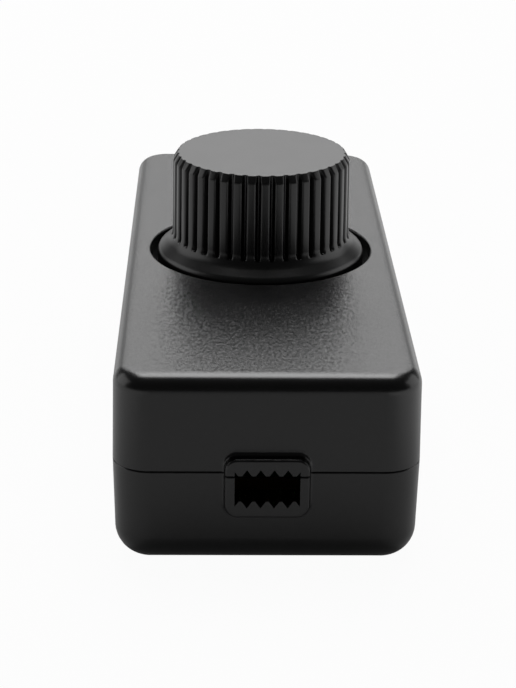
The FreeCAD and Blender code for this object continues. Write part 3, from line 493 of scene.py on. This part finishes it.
knob_black = moulded_plastic("knob_black", black, roughness=0.31, grain=0.00025, relief=0.000003,
                             edge=0.00005)
knob = made_by_nodes("fluted_knob", flute_sector(), ring_of_copies("ring_of_flutes"),
                     {"Copies": flutes, "Weld": weld_gap, "Finish": knob_black})
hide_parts("control_knob")
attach(knob, "knob")

# Studio
# A pale floor, a white sky for the camera, and soft boxes behind, above and beside the dimmer. Its flat tops
# mirror the box behind. Its rounded edges mirror the low box, the boxes beside it, and a painted glow that
# the floor shows only in reflections, stronger towards the sides. The near end stays dark.

box_aim = Vector((0.0, 0.0, 0.02))


def soft_box(name, place, size, radiance):
    """A rectangular lamp whose face has an even brightness, turned towards the dimmer."""
    lamp = bpy.data.lights.new(name, "AREA")
    lamp.shape = "RECTANGLE"
    lamp.size, lamp.size_y = size
    lamp.energy = radiance * math.pi * size[0] * size[1]
    lamp_object = bpy.data.objects.new(name, lamp)
    facing = (box_aim - Vector(place)).to_track_quat("-Z", "Y")
    lamp_object.matrix_world = Matrix.Translation(place) @ facing.to_matrix().to_4x4()
    lamp_object.visible_camera = False
    bpy.context.scene.collection.objects.link(lamp_object)


soft_box("back_box", (0.0, 0.76, 0.50), (0.9, 0.55), radiance=1.88)
soft_box("low_box", (0.0, 0.86, 0.12), (1.8, 0.24), radiance=0.5)
soft_box("top_box", (0.0, 0.31, 0.78), (0.56, 0.555), radiance=6.9)
soft_box("left_box", (-0.75, 0.15, 0.28), (0.7, 0.55), radiance=1.1)
soft_box("right_box", (0.75, 0.15, 0.28), (0.7, 0.55), radiance=1.1)

floor_reach = 3.0
floor_grey = (0.46, 0.46, 0.46, 1.0)
pure_white = (1.0, 1.0, 1.0, 1.0)
seen_glow = 0.96
# How brightly the floor glows in reflections only, evenly and towards each side: a painted reflection.
painted_reflection_base = 0.06
left_painted_reflection = 0.5
right_painted_reflection = 0.86
painted_reflection_start = 0.03
painted_reflection_full = 0.075
floor_mesh = bpy.data.meshes.new("floor")
floor_corners = [(x * floor_reach, y * floor_reach, 0) for x, y in ((-1, -1), (1, -1), (1, 1), (-1, 1))]
floor_mesh.from_pydata(floor_corners, [], [(0, 1, 2, 3)])
floor = bpy.data.objects.new("floor", floor_mesh)
bpy.context.scene.collection.objects.link(floor)
floor_finish, shade, place = new_finish("floor_white")
sight = shade.node("ShaderNodeLightPath", {}, {}, output="Is Camera Ray")
sheen = shade.node("ShaderNodeLightPath", {}, {}, output="Is Glossy Ray")
paint = shade.node("ShaderNodeBsdfDiffuse", {}, {"Color": floor_grey})
glow = shade.node("ShaderNodeEmission", {}, {"Color": pure_white, "Strength": 1.0})
# Painted reflection: glossy rays see the floor glow a little everywhere and more beyond each side of the
# dimmer, most on the right.
across = shade.node("ShaderNodeSeparateXYZ", {}, {"Vector": place}, output="X")
right_painted_glow = shade.step(across, painted_reflection_start, painted_reflection_full) * right_painted_reflection
left_painted_glow = shade.step(across * -1.0, painted_reflection_start, painted_reflection_full) * left_painted_reflection
painted_reflection = sheen * (painted_reflection_base + (right_painted_glow + left_painted_glow))
mixed = shade.node("ShaderNodeMixShader", {}, {0: sight * seen_glow + painted_reflection, 1: paint, 2: glow})
shade.node("ShaderNodeOutputMaterial", {}, {"Surface": mixed})
floor_mesh.materials.append(floor_finish)

world = bpy.data.worlds.new("studio")
bpy.context.scene.world = world
world.use_nodes = True
world.node_tree.nodes.clear()
sky = Shade(world.node_tree)
seen = sky.node("ShaderNodeLightPath", {}, {}, output="Is Camera Ray")
through = sky.node("ShaderNodeLightPath", {}, {}, output="Is Transmission Ray")
white = sky.sum("MAXIMUM", seen, through)
fill = 0.05
brightness = fill + white * (1.0 - fill)
backdrop = sky.node("ShaderNodeBackground", {}, {"Color": pure_white, "Strength": brightness})
sky.node("ShaderNodeOutputWorld", {}, {"Surface": backdrop})

# Camera
# At the photograph's view: a long lens, in front of the near end and above it, looking slightly down.

camera_place = Vector((-0.006435, -0.249820, 0.110580))
camera_down = math.radians(21.935)
camera_yaw = math.radians(-1.445)
camera_roll = math.radians(0.806)
focal_pixels = 1945.36
frame_height = 688
ahead = Vector((-math.sin(camera_yaw), math.cos(camera_yaw), 0))
right = Vector((math.cos(camera_yaw), math.sin(camera_yaw), 0))
up = ahead * math.sin(camera_down) + Vector((0, 0, math.cos(camera_down)))
camera_right = right * math.cos(camera_roll) + up * math.sin(camera_roll)
camera_up = up * math.cos(camera_roll) - right * math.sin(camera_roll)
lens = bpy.data.cameras.new("camera")
lens.sensor_width = 36
lens.lens = focal_pixels * lens.sensor_width / frame_height
lens.clip_start = 0.01
camera = bpy.data.objects.new("camera", lens)
turn = Matrix((camera_right, camera_up, camera_right.cross(camera_up))).transposed()
camera.matrix_world = Matrix.Translation(camera_place) @ turn.to_4x4()
bpy.context.scene.collection.objects.link(camera)
bpy.context.scene.camera = camera
bpy.context.scene.view_settings.view_transform = "Standard"
